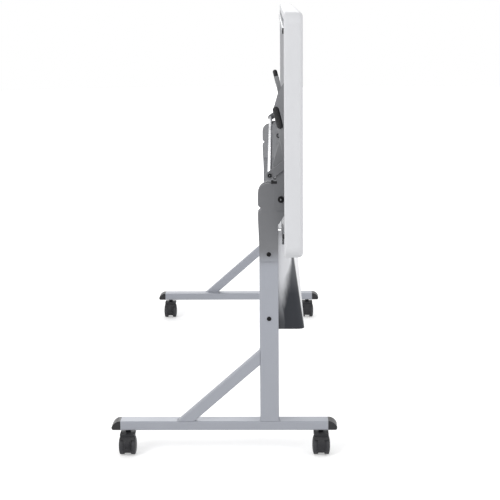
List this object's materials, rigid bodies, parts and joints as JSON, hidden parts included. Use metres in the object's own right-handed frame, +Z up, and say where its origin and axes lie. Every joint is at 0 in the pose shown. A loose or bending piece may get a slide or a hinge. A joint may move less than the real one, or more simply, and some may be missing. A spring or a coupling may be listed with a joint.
{
  "type": "folding training table",
  "caption": "Flip-top training table on casters: the top tilts up for nesting, with a release bar, a modesty panel and wheeled T feet.",
  "frame": {"origin": "on the floor, under the middle of the folded table's box", "axes": "+Z up, +Y along the tabletop's length, +X to the rear side that the folded work surface faces"},
  "size_m": [0.607, 1.829, 1.183],
  "materials": {
    "leg_paint": "satin silver powder coat",
    "bracket_paint": "satin grey powder coat",
    "panel_paint": "smooth silver coat",
    "worktop_shell": "fine matt moulded",
    "underside": "matt dark grey",
    "rail_metal": "satin light grey",
    "cap_plastic": "matt moulded",
    "hood_plastic": "matt moulded",
    "wheel_plastic": "smooth moulded",
    "black_steel": "black oxide",
    "bright_steel": "zinc plated",
    "bar_chrome": "bright plated",
    "grip_rubber": "matt moulded",
    "bumper_rubber": "matt",
    "bush_plastic": "smooth nylon"
  },
  "bodies": {
    "leg_frame": {"column_right": "leg_paint", "column_left": "leg_paint", "foot_right": "leg_paint", "foot_left": "leg_paint", "brace_right": "leg_paint", "brace_left": "leg_paint", "foot_caps": "cap_plastic", "head_plate_right_outer": "bracket_paint", "head_plate_right_inner": "leg_paint", "head_plate_left_outer": "bracket_paint", "head_plate_left_inner": "leg_paint", "pivot_bushes": "bush_plastic", "modesty_panel": "panel_paint", "panel_bolts": "black_steel", "panel_nuts": "bright_steel", "caster_front_right_stem": "bright_steel", "caster_front_left_stem": "bright_steel", "caster_rear_right_stem": "bright_steel", "caster_rear_left_stem": "bright_steel"},
    "top": {"worktop": "worktop_shell", "underside_liner": "underside", "apron_rail_front": "rail_metal", "apron_rail_rear": "rail_metal", "rail_plugs": "cap_plastic", "cross_channel_right": "rail_metal", "cross_channel_left": "rail_metal", "hinge_cheek_right_outer": "bracket_paint", "hinge_cheek_right_inner": "bracket_paint", "hinge_cheek_left_outer": "bracket_paint", "hinge_cheek_left_inner": "bracket_paint", "cheek_screws": "black_steel", "pivot_bolt_right": "black_steel", "pivot_bolt_left": "black_steel", "pivot_nuts": "black_steel", "latch_bumpers": "bumper_rubber", "crank_pins": "bright_steel", "crank_spring_right": "bright_steel", "crank_spring_left": "bright_steel"},
    "release": {"latch_bar": "bar_chrome", "crank_right": "bracket_paint", "crank_left": "bracket_paint", "grip_right": "grip_rubber", "grip_left": "grip_rubber", "bar_bolts": "black_steel"},
    "caster_front_right": {"caster_front_right_hood": "hood_plastic"},
    "caster_front_right_wheelset": {"caster_front_right_axle": "bright_steel", "caster_front_right_wheels": "wheel_plastic"},
    "caster_front_right_brake": {"caster_front_right_pedal": "hood_plastic"},
    "caster_front_left": {"caster_front_left_hood": "hood_plastic"},
    "caster_front_left_wheelset": {"caster_front_left_axle": "bright_steel", "caster_front_left_wheels": "wheel_plastic"},
    "caster_front_left_brake": {"caster_front_left_pedal": "hood_plastic"},
    "caster_rear_right": {"caster_rear_right_hood": "hood_plastic"},
    "caster_rear_right_wheelset": {"caster_rear_right_axle": "bright_steel", "caster_rear_right_wheels": "wheel_plastic"},
    "caster_rear_left": {"caster_rear_left_hood": "hood_plastic"},
    "caster_rear_left_wheelset": {"caster_rear_left_axle": "bright_steel", "caster_rear_left_wheels": "wheel_plastic"}
  },
  "joints": [
    {"name": "top_flip", "type": "hinge", "parent": "leg_frame", "child": "top", "pos_m": [0.155, 0, 0.696], "axis": [0, -1, 0], "range_deg": [0, 90]},
    {"name": "latch_release", "type": "hinge", "parent": "top", "child": "release", "pos_m": [0.1725, 0, 0.793], "axis": [0, 1, 0], "range_deg": [-5, 6], "stiffness_Nm_per_rad": 20, "springref_deg": 1.83},
    {"name": "caster_front_right_swivel", "type": "hinge", "parent": "leg_frame", "child": "caster_front_right", "pos_m": [-0.2605, -0.712, 0.066], "axis": [0, 0, 1], "continuous": true},
    {"name": "caster_front_right_roll", "type": "hinge", "parent": "caster_front_right", "child": "caster_front_right_wheelset", "pos_m": [-0.2605, -0.729, 0.025], "axis": [1, 0, 0], "continuous": true},
    {"name": "caster_front_right_brake", "type": "hinge", "parent": "caster_front_right", "child": "caster_front_right_brake", "pos_m": [-0.2605, -0.729, 0.025], "axis": [1, 0, 0], "range_deg": [-12, 0]},
    {"name": "caster_front_left_swivel", "type": "hinge", "parent": "leg_frame", "child": "caster_front_left", "pos_m": [-0.2605, 0.712, 0.066], "axis": [0, 0, 1], "continuous": true},
    {"name": "caster_front_left_roll", "type": "hinge", "parent": "caster_front_left", "child": "caster_front_left_wheelset", "pos_m": [-0.2605, 0.695, 0.025], "axis": [1, 0, 0], "continuous": true},
    {"name": "caster_front_left_brake", "type": "hinge", "parent": "caster_front_left", "child": "caster_front_left_brake", "pos_m": [-0.2605, 0.695, 0.025], "axis": [1, 0, 0], "range_deg": [-12, 0]},
    {"name": "caster_rear_right_swivel", "type": "hinge", "parent": "leg_frame", "child": "caster_rear_right", "pos_m": [0.2605, -0.712, 0.066], "axis": [0, 0, 1], "continuous": true},
    {"name": "caster_rear_right_roll", "type": "hinge", "parent": "caster_rear_right", "child": "caster_rear_right_wheelset", "pos_m": [0.2605, -0.729, 0.025], "axis": [1, 0, 0], "continuous": true},
    {"name": "caster_rear_left_swivel", "type": "hinge", "parent": "leg_frame", "child": "caster_rear_left", "pos_m": [0.2605, 0.712, 0.066], "axis": [0, 0, 1], "continuous": true},
    {"name": "caster_rear_left_roll", "type": "hinge", "parent": "caster_rear_left", "child": "caster_rear_left_wheelset", "pos_m": [0.2605, 0.695, 0.025], "axis": [1, 0, 0], "continuous": true}
  ]
}
